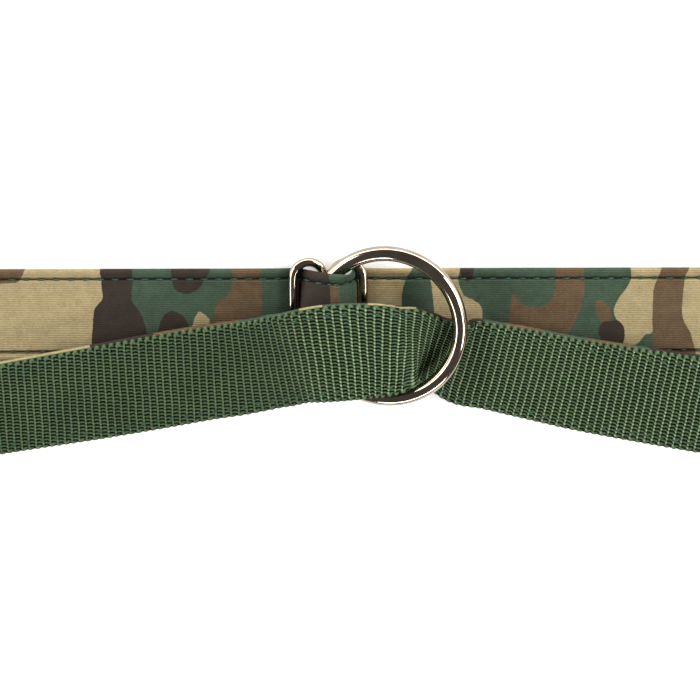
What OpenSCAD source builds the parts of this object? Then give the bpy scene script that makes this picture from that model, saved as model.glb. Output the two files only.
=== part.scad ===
// Harness strap crossing: two padded webbing straps joined by a loose O-ring
// and a wire slide adjuster, with a rectangular end ring on each strap end.
// Millimetres. X runs along the far strap, Y across it, Z up from the ground.
// The far strap lies lining up, the near strap lies webbing up and threads the O-ring.

/* [Straps] */
// far strap width over its rolled lining edges
far_w = 25; // [24:0.5:25.5]
// near strap width over its rolled lining edges
near_w = 27.5; // [27:0.5:28]
// laminate thickness where nothing squeezes it
strap_t = 3; // [2.6:0.1:3.2]
// share of the thickness that is woven webbing
web_share = 0.4; // [0.3:0.05:0.45]
// share of the thickness that is printed lining cloth
cloth_share = 0.2; // [0.15:0.05:0.25]
// webbing set back from the lining edge on each side
web_inset = 0.4; // [0.2:0.1:0.8]
// lining cloth thickness where it wraps the foam edge
wrap_w = 0.8; // [0.6:0.1:1.2]
// half length of the lined part of each strap
lined_half = 119; // [117:1:121]

/* [Slide adjuster] */
// wire diameter of the slide adjuster
slider_wire = 2.4; // [2.2:0.1:2.5]
// distance from the centre bar to each leg, centre to centre
slider_pitch = 9.35; // [9.2:0.05:9.5]
// height of the leg centres above the ground
leg_z = 3.8; // [3.7:0.05:3.9]
// bend radius of each hump of the frame
hump_r = 4.25; // [4:0.05:4.4]
// distance from the frame centre line to the top of a hump
hump_reach = 14.3; // [14.1:0.1:14.5]
// distance from the frame centre line to the bottom of a dip
dip_reach = 10.1; // [9.9:0.1:10.3]

/* [O-ring] */
// inner diameter of the O-ring
oring_d = 35; // [34.8:0.1:35.2]
// wire diameter of the O-ring
oring_wire = 4; // [3.8:0.1:4]
// lean of the O-ring, low side at the centre bar
oring_lean = 10.8; // [10.6:0.1:11]
// height of the O-ring centre
oring_z = 8.4; // [8.3:0.1:8.6]

/* [Ends] */
// length of the folded webbing end from the lining to the end ring
fold_len = 24; // [22:1:26]
// webbing thickness in the folded end
fold_t = 1.2; // [1:0.1:1.3]
// wire diameter of an end ring
end_wire = 3; // [2.6:0.1:3]
// play of a strap inside its end ring, both sides together
end_play = 0.6; // [0.4:0.1:0.8]
// free height inside an end ring
end_in_h = 9; // [7:0.5:12]
// inner corner radius of an end ring
end_corner = 0.6; // [0.5:0.1:0.7]

/* [Seams] */
// distance of a seam from the strap edge
seam_inset = 2.8; // [2.4:0.1:3.4]
// thread width
thread_w = 0.6; // [0.4:0.1:0.8]
// height of the thread above the surface
thread_h = 0.3; // [0.2:0.05:0.4]

/* [Hidden] */
$fn = 48;
// middle line of the far strap, and the shift that centres the whole crossing
far_y = 1.8;
shift_y = 14.55;
// place of the slide adjuster's centre bar
bar_x = -15.5;
bar_z = slider_wire / 2 + 0.1;
// clearance between pieces that move
gap = 0.3;
ring_r = oring_d / 2 + oring_wire / 2;
// height of an end-ring wire's centre in its fold
fold_h = end_wire / 2 + gap + fold_t;
// height of the near strap's webbing above the ground at its ends
near_lift = (1 - 2 * web_share) * strap_t;
// stations between two points of a strap's curve
steps = 4;
// space left between stacked layers, and between a thread and the strap's face
seat = 0.01;
thread_seat = 0.1;
web_color = [0.29, 0.35, 0.24];
cloth_color = [0.5, 0.46, 0.33];
foam_color = [0.16, 0.16, 0.15];
thread_color = [0.16, 0.4, 0.32];
metal_color = [0.66, 0.66, 0.65];

// ---- centre-line helpers ----

// height of the O-ring wire centre at position x
function ring_h(x) = oring_z + x * tan(oring_lean);

// left-hand arc of a circle of radius r at the width position y
function arc_x(r, y) = -sqrt(max(r * r - y * y, 1));

// smooth curve through a list of points
function curve(p, k, s) =
    let (a = p[max(k - 1, 0)], b = p[k], c = p[k + 1], d = p[min(k + 2, len(p) - 1)])
    let (m0 = (c - a) * norm(c - b) / (norm(c - b) + norm(b - a) + 0.001))
    let (m1 = (d - b) * norm(c - b) / (norm(d - c) + norm(c - b) + 0.001))
    b * (2 * s * s * s - 3 * s * s + 1) + m0 * (s * s * s - 2 * s * s + s)
    + c * (3 * s * s - 2 * s * s * s) + m1 * (s * s * s - s * s);

// every station of a smooth curve through a list of points
function stations(p) = [
    for (k = [0 : len(p) - 2]) for (j = [0 : steps - 1]) curve(p, k, j / steps),
    p[len(p) - 1]
];

// far strap centre line [x, z, thickness] in the strip at width position y
function far_keys(y) =
    let (xw = arc_x(ring_r, y))
    let (xe = max(-12.5, arc_x(ring_r - oring_wire / 2 + gap, y) + 0.25))
    let (leg_in = bar_x - slider_pitch + slider_wire / 2)
    let (xm = max(leg_in + 1.1, (leg_in + 0.65 + xw - 2.2) / 2))
    let (over = oring_wire / 2 + 0.5)
    let (pinch = 0.2 * max(0, abs(y - far_y) - 8.7))
    [
        [-lined_half, strap_t / 2, strap_t],
        [-80, strap_t / 2, strap_t],
        [-50, strap_t / 2, strap_t],
        [-36, strap_t / 2, strap_t],
        [-30, strap_t / 2 - 0.05, strap_t - 0.1],
        [-26.9, 1.3, 2.3],
        [-24.85, 1.2, 1.6],
        [-23, 1.75, 1.35],
        [xm, (2 + ring_h(xw) + 2.3) / 2, 1.35],
        [xw - 2.3, ring_h(xw) + 2.3, 1.6],
        [xw, ring_h(xw) + over + 1, 2],
        [(xw + xe) / 2, ring_h((xw + xe) / 2) + over + 1.05, 2.1],
        [xe, ring_h(xe) + over + 1.05, 2.1],
        [-8.9 - 0.35 * pinch, 5.4, 1.4],
        [-8.15 - pinch, 2.3, 1.35],
        [-6.15, 1.2, 1.6],
        [-4.2, 1.35, 2.4],
        [-1.5, strap_t / 2 - 0.05, strap_t - 0.1],
        [4, strap_t / 2, strap_t],
        [18, strap_t / 2, strap_t],
        [50, strap_t / 2, strap_t],
        [80, strap_t / 2, strap_t],
        [lined_half, strap_t / 2, strap_t]
    ];

// near strap [x, upper edge y, upper edge z, lower edge y, lower edge z]
near_keys = [
    [-lined_half, -13.8, 1.5, -39.8, 1.5],
    [-110, -11.8, 4, -37.8, 1.5],
    [-101.8, -10.1, 5.4, -36.1, 1.6],
    [-75.5, -5, 6.4, -32, 1.6],
    [-49.2, 0.1, 7.6, -27.4, 1.7],
    [-36, 2, 8.1, -25, 2.5],
    [-28, 4.2, 9.8, -23, 6],
    [-20.3, 6.1, 12.5, -20.5, 11],
    [-12.4, 7.1, 13, -19.3, 12.9],
    [-5, 7.1, 12.9, -18.6, 12.6],
    [0, 6.8, 12.6, -18, 12.8],
    [3.5, 6.3, 11.9, -16.9, 12.3],
    [7, 5.5, 10.8, -15.35, 9.4],
    [10, 4.5, 9.6, -15.9, 5.8],
    [13.5, 3.7, 8.6, -18.5, 3.9],
    [19.2, 2.4, 8, -22.6, 2.2],
    [27, 1.2, 8, -24.2, 1.9],
    [35, -0.1, 7.7, -26.3, 1.7],
    [50.8, -3.5, 6.8, -30.1, 1.6],
    [82, -8.6, 5.8, -36.1, 1.6],
    [95, -10.9, 5.1, -38.2, 1.5],
    [104, -12.4, 3.2, -39.6, 1.5],
    [lined_half, -14.8, 1.5, -41.9, 1.5]
];

// ---- strap surfaces ----

// a section point is [across, share of thickness, height above that]
function far_point(s, n, v) =
    let (y = far_y + v[0], p = stations(far_keys(y)))
    let (a = p[max(s - 1, 0)], b = p[min(s + 1, n)])
    let (d = [b[0] - a[0], b[1] - a[1]] / norm([b[0] - a[0], b[1] - a[1]]))
    let (h = (v[1] - 0.5) * p[s][2] + v[2])
    [p[s][0] - d[1] * h, y, p[s][1] + d[0] * h];

// direction of the near strap's centre line in plan, from the keys either side
function near_turn(p, s) =
    let (a = p[max(s - 1, 0)], b = p[min(s + 1, len(p) - 1)])
    atan2(b[1] + b[3] - a[1] - a[3], 2 * (b[0] - a[0]));

// point on the near strap's middle surface, m from 0 (lower edge) to 1 (upper edge)
function near_mid(p, s, m) =
    let (k = p[s], turn = near_turn(p, s))
    let (dx = (0.5 - m) * (k[1] - k[3]) * sin(turn) * cos(turn))
    [k[0] + dx, k[3] + (k[1] - k[3]) * m + dx * tan(turn), k[4] + (k[2] - k[4]) * m];

function near_point(s, n, v) =
    let (p = stations(near_keys))
    let (across = near_mid(p, s, 1) - near_mid(p, s, 0), m = 0.5 + v[0] / max(norm(across), near_w))
    let (along = near_mid(p, min(s + 1, n), m) - near_mid(p, max(s - 1, 0), m))
    let (up = cross(along, across))
    near_mid(p, s, m) + up / norm(up) * ((v[1] - 0.5) * strap_t + v[2]);

// twice the signed area of a section
function spin(p) = [for (i = [0 : len(p) - 1]) let (a = p[i], b = p[(i + 1) % len(p)])
    a[0] * (b[1] + b[2]) - b[0] * (a[1] + a[2])];
function sum(v) = [for (x = v) 1] * v;

// faces that close a section of m points: a flat layer, or a cover with wrapped edges
function flat_end(m) = [for (j = [0 : m / 2 - 2]) [j, j + 1, m - 2 - j, m - 1 - j]];
function cover_end(m) = concat(
    [[0, 1, 2, 3, m - 1]],
    [for (j = [3 : m / 2 - 2]) [j, j + 1, m + 1 - j, m + 2 - j]],
    [[for (j = [m / 2 - 1 : m / 2 + 3]) j]]);

// the same faces seen from the other side
function flipped(faces) = [for (f = faces) [for (i = [len(f) - 1 : -1 : 0]) f[i]]];

// closed sweep of rings of points, its faces looking outward
// both long faces are cut along the same diagonals, so stacked layers fit
module sweep(rings, section, wrapped) {
    m = len(section);
    n = len(rings) - 1;
    sides = [for (i = [0 : n - 1]) for (j = [0 : m - 1])
        let (a = i * m + j, b = i * m + (j + 1) % m)
        each j < m / 2 ? [[a, b, a + m], [b, b + m, a + m]] : [[a, b, b + m], [a, b + m, a + m]]];
    start = wrapped ? cover_end(m) : flat_end(m);
    finish = [for (f = start) [for (i = f) n * m + i]];
    faces = concat(sides, flipped(start), finish);
    polyhedron(
        points = [for (r = rings) for (q = r) q],
        faces = sum(spin(section)) > 0 ? flipped(faces) : faces
    );
}

module far_sweep(section, wrapped = false) {
    n = len(stations(far_keys(0))) - 1;
    translate([0, shift_y, 0])
        sweep([for (s = [0 : n]) [for (v = section) far_point(s, n, v)]], section, wrapped);
}

module near_sweep(section, wrapped = false) {
    n = len(stations(near_keys)) - 1;
    translate([0, shift_y, 0])
        sweep([for (s = [0 : n]) [for (v = section) near_point(s, n, v)]], section, wrapped);
}

// positions across a strap where its surfaces are cut: edges, both sides of each seam, between
function cuts(edge, w, between) = let (s = w / 2 - seam_inset, t = thread_w / 2)
    concat([-edge, -s - t, t - s], between * s, [s - t, s + t, edge]);

// flat layer between two shares of the thickness
function layer(half, low, high, w, between) = let (at = cuts(half, w, between), n = len(at) - 1)
    concat(
        [for (c = [0 : n]) [at[c], low, 0]],
        [for (c = [n : -1 : 0]) [at[c], high, 0]]
    );

// cover with its two edges wrapped down to the webbing
function cover(half, edge, inner, outer, w, between) =
    let (top = cuts(half - 0.3, w, between), under = cuts(half - wrap_w, w, between))
    let (n = len(top) - 1)
    concat(
        [[-half + wrap_w, edge, 0], [-half, edge, 0], [-half, (edge + outer) / 2, 0]],
        [for (c = [0 : n]) [top[c], outer, 0]],
        [[half, (edge + outer) / 2, 0], [half, edge, 0], [half - wrap_w, edge, 0]],
        [for (c = [n : -1 : 0]) [under[c], inner, 0]]
    );

// sewing thread lying on the upper face
function thread(at) = [
    [at - thread_w / 2, 1, thread_seat], [at + thread_w / 2, 1, thread_seat],
    [at + thread_w / 4, 1, thread_h], [at - thread_w / 4, 1, thread_h]
];

// ---- strap ends ----

// outline of webbing folded round an end-ring wire, fold at the origin
function fold_arc(r, a0, a1) = [for (i = [0 : 16]) let (a = a0 + (a1 - a0) * i / 16)
    [r * cos(a), r * sin(a)]];

module fold_profile(len) {
    r_in = end_wire / 2 + gap;
    r_out = r_in + fold_t;
    top = 2 * fold_t - r_out;
    difference() {
        polygon(concat(fold_arc(r_out, -90, 75), [[-9, top], [-len, top], [-len, -r_out]]));
        circle(r = r_in);
        polygon([[0, -r_in], [-8.2, -r_out + fold_t], [-8.2, -r_out + fold_t + 0.05], [0, r_in]]);
    }
}

// folded webbing end pointing along +X with its fold above the origin
module fold_end(w) {
    color(web_color)
        translate([0, 0, fold_h])
            rotate([90, 0, 0])
                linear_extrude(height = w - 2 * web_inset, center = true)
                    fold_profile(fold_len - 0.2);
}

// box stitch with its diagonals on the upper layer of the fold
module box_stitch(w) {
    a = 12;
    b = w - 8;
    slope = atan2(b, a);
    color(thread_color)
        translate([-fold_len + 2 + a / 2, 0, 2 * fold_t])
            linear_extrude(height = thread_h) {
                difference() {
                    square([a, b], center = true);
                    square([a - 2 * thread_w, b - 2 * thread_w], center = true);
                }
                intersection() {
                    square([a, b], center = true);
                    union() {
                        rotate(slope)
                            square([a + b, thread_w], center = true);
                        rotate(-slope)
                            square([a + b, thread_w], center = true);
                    }
                }
            }
}

// rectangular wire ring with its inner bar in the fold, its outer bar on the ground
module end_ring(strap_w, lift) {
    r = end_wire / 2;
    c = end_corner + r;
    h = end_in_h + end_wire;
    w = strap_w + end_play + end_wire;
    color(metal_color)
        translate([0, 0, fold_h])
            rotate([0, asin((fold_h + lift - r) / h), 0]) {
                for (x = [0, h])
                    translate([x, 0, 0])
                        rotate([90, 0, 0])
                            cylinder(r = r, h = w - 2 * c, center = true);
                for (s = [-1, 1])
                    translate([h / 2, s * w / 2, 0])
                        rotate([0, 90, 0])
                            cylinder(r = r, h = h - 2 * c, center = true);
                for (s = [0, 1], q = [0, 1])
                    mirror([0, s, 0])
                        translate([q == 0 ? c : h - c, w / 2 - c, 0])
                            rotate([0, 0, q == 0 ? 90 : 0])
                                rotate_extrude(angle = 90)
                                    translate([c, 0])
                                        circle(r = r);
            }
}

// place something at a strap end: side is -1 for the left end and 1 for the right
module far_place(side) {
    translate([0, shift_y + far_y, 0])
        mirror([side < 0 ? 1 : 0, 0, 0])
            translate([lined_half + fold_len, 0, 0])
                children();
}

module near_place(side) {
    p = stations(near_keys);
    s = side < 0 ? 0 : len(p) - 1;
    translate([0, shift_y, near_lift])
        mirror([side < 0 ? 1 : 0, 0, 0])
            translate([lined_half, (p[s][1] + p[s][3]) / 2, 0])
                rotate([0, 0, side * near_turn(p, s)])
                    translate([fold_len, 0, 0])
                        children();
}

// ---- slide adjuster ----

// quarter of the frame: leg, hump and half of the dip, from the frame centre line outward
module frame_quarter() {
    r = slider_wire / 2;
    rise = leg_z - bar_z;
    run = norm([slider_pitch, rise]);
    lean = atan2(rise, slider_pitch);
    hump_y = hump_reach - hump_r;
    c = run - hump_r;
    d = dip_reach - hump_y;
    dip_r = (c * c + d * d - hump_r * hump_r) / (2 * (hump_r - d));
    meet = atan2(dip_r + d, c);
    rotate([0, -lean, 0]) {
        translate([run, 0, 0])
            rotate([-90, 0, 0])
                cylinder(r = r, h = hump_y);
        translate([c, hump_y, 0])
            rotate_extrude(angle = 180 - meet)
                translate([hump_r, 0])
                    circle(r = r);
        translate([0, dip_reach + dip_r, 0])
            rotate([0, 0, -90])
                rotate_extrude(angle = 90 - meet)
                    translate([dip_r, 0])
                        circle(r = r);
    }
}

module slider_place() {
    translate([bar_x, shift_y + far_y, bar_z])
        children();
}

// ---- nodes ----

far_between = [-0.6, -0.2, 0.2, 0.6];
near_between = [-0.33, 0.33];
foam_far = far_w / 2 - wrap_w - 0.03;
foam_near = near_w / 2 - wrap_w - 0.03;
far_web = layer(far_w / 2 - web_inset, 0, web_share - seat, far_w, far_between);
far_foam = layer(foam_far, web_share, 1 - cloth_share - seat, far_w, far_between);
far_cloth = cover(far_w / 2, web_share, 1 - cloth_share, 1, far_w, far_between);
near_web = layer(near_w / 2 - web_inset, 1 - web_share + seat, 1, near_w, near_between);
near_foam = layer(foam_near, cloth_share + seat, 1 - web_share, near_w, near_between);
near_cloth = cover(near_w / 2, 1 - web_share, cloth_share, 0, near_w, near_between);

module far_webbing() {
    color(web_color)
        far_sweep(far_web);
}

module far_foam_core() {
    color(foam_color)
        far_sweep(far_foam);
}

module far_lining() {
    color(cloth_color)
        far_sweep(far_cloth, true);
}

module far_seam_upper() {
    color(thread_color)
        far_sweep(thread(far_w / 2 - seam_inset));
}

module far_seam_lower() {
    color(thread_color)
        far_sweep(thread(seam_inset - far_w / 2));
}

module far_fold_left() {
    far_place(-1)
        fold_end(far_w);
}

module far_fold_right() {
    far_place(1)
        fold_end(far_w);
}

module far_box_stitch_left() {
    far_place(-1)
        box_stitch(far_w);
}

module far_box_stitch_right() {
    far_place(1)
        box_stitch(far_w);
}

module near_webbing() {
    color(web_color)
        near_sweep(near_web);
}

module near_foam_core() {
    color(foam_color)
        near_sweep(near_foam);
}

module near_lining() {
    color(cloth_color)
        near_sweep(near_cloth, true);
}

module near_seam_upper() {
    color(thread_color)
        near_sweep(thread(near_w / 2 - seam_inset));
}

module near_seam_lower() {
    color(thread_color)
        near_sweep(thread(seam_inset - near_w / 2));
}

module near_fold_left() {
    near_place(-1)
        fold_end(near_w);
}

module near_fold_right() {
    near_place(1)
        fold_end(near_w);
}

module near_box_stitch_left() {
    near_place(-1)
        box_stitch(near_w);
}

module near_box_stitch_right() {
    near_place(1)
        box_stitch(near_w);
}

module slider_frame() {
    color(metal_color)
        slider_place()
            for (a = [0, 1], b = [0, 1])
                mirror([a, 0, 0])
                    mirror([0, b, 0])
                        frame_quarter();
}

module slider_centre_bar() {
    bar_len = 2 * (dip_reach - slider_wire / 2 - 0.02);
    color(metal_color)
        slider_place()
            rotate([90, 0, 0])
                cylinder(r = slider_wire / 2, h = bar_len, center = true);
}

module o_ring() {
    color(metal_color)
        translate([0, shift_y, oring_z])
            rotate([0, -oring_lean, 0])
                rotate_extrude($fn = 96)
                    translate([ring_r, 0])
                        circle(r = oring_wire / 2);
}

module far_end_ring_left() {
    far_place(-1)
        end_ring(far_w, 0);
}

module far_end_ring_right() {
    far_place(1)
        end_ring(far_w, 0);
}

module near_end_ring_left() {
    near_place(-1)
        end_ring(near_w, near_lift);
}

module near_end_ring_right() {
    near_place(1)
        end_ring(near_w, near_lift);
}

far_webbing();
far_foam_core();
far_lining();
far_seam_upper();
far_seam_lower();
far_fold_left();
far_fold_right();
far_box_stitch_left();
far_box_stitch_right();
near_webbing();
near_foam_core();
near_lining();
near_seam_upper();
near_seam_lower();
near_fold_left();
near_fold_right();
near_box_stitch_left();
near_box_stitch_right();
slider_frame();
slider_centre_bar();
o_ring();
far_end_ring_left();
far_end_ring_right();
near_end_ring_left();
near_end_ring_right();
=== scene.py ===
import math
import random

import bpy
import numpy as np
from mathutils import Matrix, Vector


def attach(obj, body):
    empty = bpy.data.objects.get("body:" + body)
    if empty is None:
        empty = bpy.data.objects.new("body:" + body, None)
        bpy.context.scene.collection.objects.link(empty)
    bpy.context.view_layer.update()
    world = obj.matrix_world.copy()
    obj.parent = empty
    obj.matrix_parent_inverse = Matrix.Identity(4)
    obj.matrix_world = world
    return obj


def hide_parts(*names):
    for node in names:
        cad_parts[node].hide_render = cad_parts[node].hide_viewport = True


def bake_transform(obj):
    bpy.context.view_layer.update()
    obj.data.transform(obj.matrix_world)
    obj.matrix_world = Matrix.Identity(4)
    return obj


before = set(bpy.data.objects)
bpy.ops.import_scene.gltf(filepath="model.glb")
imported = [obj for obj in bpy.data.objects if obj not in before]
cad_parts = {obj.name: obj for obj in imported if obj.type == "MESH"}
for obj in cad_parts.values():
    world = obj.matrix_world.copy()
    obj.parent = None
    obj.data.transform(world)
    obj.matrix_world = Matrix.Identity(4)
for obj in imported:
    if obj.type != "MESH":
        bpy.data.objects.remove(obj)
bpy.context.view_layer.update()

MM = 0.001
RING_SHIFT_Y = 14.55  # the O-ring's centre in the part's frame
ROOM_LIGHT, CLOTH_LIGHT = 0.14, 9.0
FLOOR_GLOW = 0.3  # the paper is lit a little from below, as on a light table
FLOOR_HALF, FLOOR_DROP = 4.0, 0.0002  # in metres
rng = random.Random(7)

# ---------------- camera and light

CAMERA_TARGET = Vector((-9.74, 8.5, 9.88)) * MM
CAMERA_TILT, CAMERA_ROLL = math.radians(13), math.radians(0.15)
CAMERA_DISTANCE, CAMERA_LENS = 0.9, 176

camera = bpy.data.objects.new("camera", bpy.data.cameras.new("camera"))
bpy.context.scene.collection.objects.link(camera)
camera.data.lens = CAMERA_LENS
camera.data.sensor_width = 36
camera.data.clip_start = 0.01
camera.location = CAMERA_TARGET + CAMERA_DISTANCE * Vector(
    (0, math.sin(CAMERA_TILT), math.cos(CAMERA_TILT))
)
camera.matrix_world = (
    Matrix.Translation(camera.location)
    @ Matrix.Rotation(-CAMERA_TILT, 4, "X")
    @ Matrix.Rotation(-CAMERA_ROLL, 4, "Z")
)
bpy.context.scene.camera = camera

bpy.context.scene.view_settings.view_transform = "Standard"

# name, place, width, height, power
SOFTBOXES = [
    ("softbox_key", (-1.0, 0.1, 0.74), 1.5, 0.32, 14),
    ("softbox_fill", (1.0, 0.1, 0.74), 1.5, 0.28, 19),
    ("softbox_front", (0.1, -1.05, 0.5), 1.0, 0.2, 8),
]
for name, place, width, height, power in SOFTBOXES:
    lamp = bpy.data.objects.new(name, bpy.data.lights.new(name, "AREA"))
    lamp.data.shape = "RECTANGLE"
    lamp.data.size = width
    lamp.data.size_y = height
    lamp.data.energy = power
    lamp.location = place
    lamp.rotation_euler = (-Vector(place)).to_track_quat("-Z", "Y").to_euler()
    bpy.context.scene.collection.objects.link(lamp)

# ---------------- node materials


class Nodes:
    """A small helper that adds linked shader nodes to a node tree."""

    def __init__(self, tree):
        self.tree = tree

    def set(self, socket, value):
        """Links a node's output or writes a plain value into an input."""
        if isinstance(value, bpy.types.NodeSocket):
            self.tree.links.new(value, socket)
        else:
            socket.default_value = value

    def add(self, kind, inputs=None, **settings):
        node = self.tree.nodes.new(kind)
        for key, value in settings.items():
            setattr(node, key, value)
        for key, value in (inputs or {}).items():
            self.set(node.inputs[key], value)
        return node

    def math(self, operation, a, b=0.0, c=0.0):
        return self.add("ShaderNodeMath", {0: a, 1: b, 2: c}, operation=operation).outputs[0]

    def mix(self, factor, a, b):
        inputs = {"Factor": factor, "A": a, "B": b}
        return self.add("ShaderNodeMix", inputs, data_type="RGBA").outputs["Result"]

    def noise(self, vector, scale, detail=2.0, roughness=0.5):
        inputs = {"Vector": vector, "Scale": scale, "Detail": detail, "Roughness": roughness}
        return self.add("ShaderNodeTexNoise", inputs).outputs["Fac"]

    def ramp(self, value, low, high, bottom=0.0, top=1.0):
        """Maps low..high smoothly to bottom..top."""
        inputs = {"Value": value, "From Min": low, "From Max": high, "To Min": bottom, "To Max": top}
        node = self.add("ShaderNodeMapRange", inputs, interpolation_type="SMOOTHSTEP")
        return node.outputs["Result"]

    def attribute(self, name, output="Fac"):
        return self.add("ShaderNodeAttribute", attribute_name=name).outputs[output]

    def stretch(self, vector, factors):
        node = self.add("ShaderNodeVectorMath", {0: vector, 1: factors}, operation="MULTIPLY")
        return node.outputs["Vector"]

    def bump(self, height, distance, strength=1.0, after=None):
        node = self.add(
            "ShaderNodeBump", {"Height": height, "Distance": distance, "Strength": strength}
        )
        if after is not None:
            self.set(node.inputs["Normal"], after)
        return node.outputs["Normal"]


class MaterialNodes(Nodes):
    """The nodes of a new material."""

    def __init__(self, name):
        self.material = bpy.data.materials.new(name)
        self.material.use_nodes = True
        super().__init__(self.material.node_tree)

    def shade(self, **values):
        """Sets the shader's own sockets and returns the material."""
        shader = self.tree.nodes["Principled BSDF"]
        for key, value in values.items():
            self.set(shader.inputs[key.replace("_", " ")], value)
        return self.material


def make_world():
    """A dim, warm studio with a low band of white cloth behind the object."""
    world = bpy.data.worlds.new("studio")
    bpy.context.scene.world = world
    world.use_nodes = True
    n = Nodes(world.node_tree)
    toward = n.add("ShaderNodeTexCoord").outputs["Generated"]
    toward = n.add("ShaderNodeSeparateXYZ", {0: toward}).outputs
    band = n.math("MULTIPLY", n.ramp(toward["Z"], 0.0, 0.05), n.ramp(toward["Z"], 0.28, 0.2))
    band = n.math("MULTIPLY", band, n.ramp(toward["Y"], -0.1, 0.4))
    light = n.math("ADD", n.math("MULTIPLY", band, CLOTH_LIGHT), ROOM_LIGHT)
    background = n.tree.nodes["Background"]
    n.set(background.inputs["Strength"], light)
    n.set(background.inputs["Color"], (1, 0.98, 0.96, 1))


make_world()


def rgb(red, green, blue):
    """A colour given as 0 to 255 display values, made linear."""
    return tuple(
        c / 12.92 if c <= 0.04045 else ((c + 0.055) / 1.055) ** 2.4
        for c in (red / 255, green / 255, blue / 255)
    ) + (1.0,)


def webbing_material():
    """Coarse nylon webbing: ridges painted pale as a highlight, darker yarns between, gaps painted
    nearly black as shade, fine filaments.
    """
    n = MaterialNodes("webbing_nylon")
    flat = n.attribute("flat", "Vector")
    weave = n.attribute("weave")
    ridge = n.attribute("ridge")
    patchy = n.noise(flat, 0.09, 3)
    yarn = n.noise(n.stretch(flat, (0.9, 1.8, 1.0)), 1.0, 2)
    filament = n.noise(n.stretch(flat, (0.7, 14.0, 1.0)), 1.0, 2)
    body = n.mix(n.ramp(patchy, 0.3, 0.7), rgb(68, 87, 59), rgb(80, 99, 69))
    body = n.mix(n.ramp(yarn, 0.35, 0.7, 0.0, 0.4), body, rgb(86, 106, 76))
    # painted highlight: the ridges' beads get a paler colour, as where the light catches them
    bright = n.mix(n.ramp(filament, 0.3, 0.7), rgb(124, 151, 110), rgb(162, 186, 146))
    # the painted highlight is paler on some beads than on others
    uneven_highlight = n.ramp(n.noise(flat, 0.9, 1), 0.35, 0.65, 0.6, 1.0)
    colour = n.mix(n.math("MULTIPLY", n.ramp(ridge, 0.2, 0.95), uneven_highlight), body, bright)
    # painted shade: deep in the gaps between yarns the colour goes nearly black
    colour = n.mix(n.ramp(weave, 0.08, 0.66), rgb(10, 16, 7), colour)
    normal = n.bump(filament, 0.05 * MM, 0.6)
    rough = n.ramp(filament, 0.2, 0.8, 0.38, 0.55)
    return n.shade(Base_Color=colour, Roughness=rough, Normal=normal, Specular_IOR_Level=0.08)


def lining_material():
    """Printed knit: four camouflage colours with slightly wandering edges and fine ribs, with painted
    shade in the ribs' grooves and in the seams' grooves.
    """
    n = MaterialNodes("lining_print")
    flat = n.attribute("flat", "Vector")
    wander = n.noise(flat, 0.5, 3)
    wander = n.math("MULTIPLY_ADD", wander, 0.6, -0.3)
    fibre = n.noise(n.stretch(flat, (1.2, 3.0, 1.0)), 1.0, 3, 0.7)
    mottle = n.noise(flat, 0.35, 4, 0.6)

    tone = n.math("MULTIPLY_ADD", fibre, 0.65, n.math("MULTIPLY", mottle, 0.35))
    tone = n.ramp(tone, 0.3, 0.7)

    def two_tone(dark, light):
        return n.mix(tone, dark, light)

    colour = two_tone(rgb(47, 63, 49), rgb(66, 84, 66))
    for name, dark, light in (
        ("tan", rgb(137, 122, 87), rgb(169, 154, 116)),
        ("brown", rgb(76, 59, 40), rgb(102, 83, 60)),
        ("dark", rgb(39, 31, 25), rgb(55, 46, 39)),
        ("green", rgb(48, 64, 50), rgb(68, 86, 68)),
    ):
        inside = n.math("ADD", n.attribute("camo_" + name), wander)
        colour = n.mix(n.ramp(inside, -0.12, 0.12), colour, two_tone(dark, light))
    ribs = n.add(
        "ShaderNodeTexWave",
        {"Vector": flat, "Scale": 0.64, "Distortion": 0.6, "Detail": 2.0, "Detail Scale": 1.4},
        bands_direction="Y",
        wave_profile="SIN",
    ).outputs["Fac"]
    # painted shade: darker in the grooves between the knit's ribs
    colour = n.mix(n.ramp(ribs, 0.0, 0.6, 0.34, 0.0), colour, rgb(24, 21, 16))
    # painted shade: dark in the groove that each seam pulls in
    groove_shade = n.attribute("groove_shade")
    colour = n.mix(n.ramp(groove_shade, 0.15, 0.9, 0.0, 0.8), colour, rgb(18, 16, 12))
    normal = n.bump(ribs, 0.06 * MM, 0.8)
    normal = n.bump(fibre, 0.05 * MM, 0.6, normal)
    return n.shade(
        Base_Color=colour,
        Roughness=n.ramp(fibre, 0.2, 0.8, 0.75, 0.95),
        Normal=normal,
        Specular_IOR_Level=0.2,
    )


def thread_material():
    """Twisted two-ply sewing thread, painted darker as shade in the grooves between its plies."""
    n = MaterialNodes("thread_polyester")
    flat = n.attribute("flat", "Vector")
    ply = n.add(
        "ShaderNodeTexWave",
        {"Vector": flat, "Scale": 1.1, "Distortion": 0.3},
        bands_direction="DIAGONAL",
    ).outputs["Fac"]
    tone = n.noise(flat, 0.4, 2)
    # painted shade: darker in the grooves between the plies
    colour = n.mix(ply, rgb(12, 38, 30), rgb(28, 80, 61))
    colour = n.mix(n.ramp(tone, 0.4, 0.7, 0.0, 0.4), colour, rgb(42, 100, 77))
    return n.shade(
        Base_Color=colour, Roughness=n.ramp(ply, 0, 1, 0.6, 0.45), Normal=n.bump(ply, 0.08 * MM, 0.8)
    )


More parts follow.
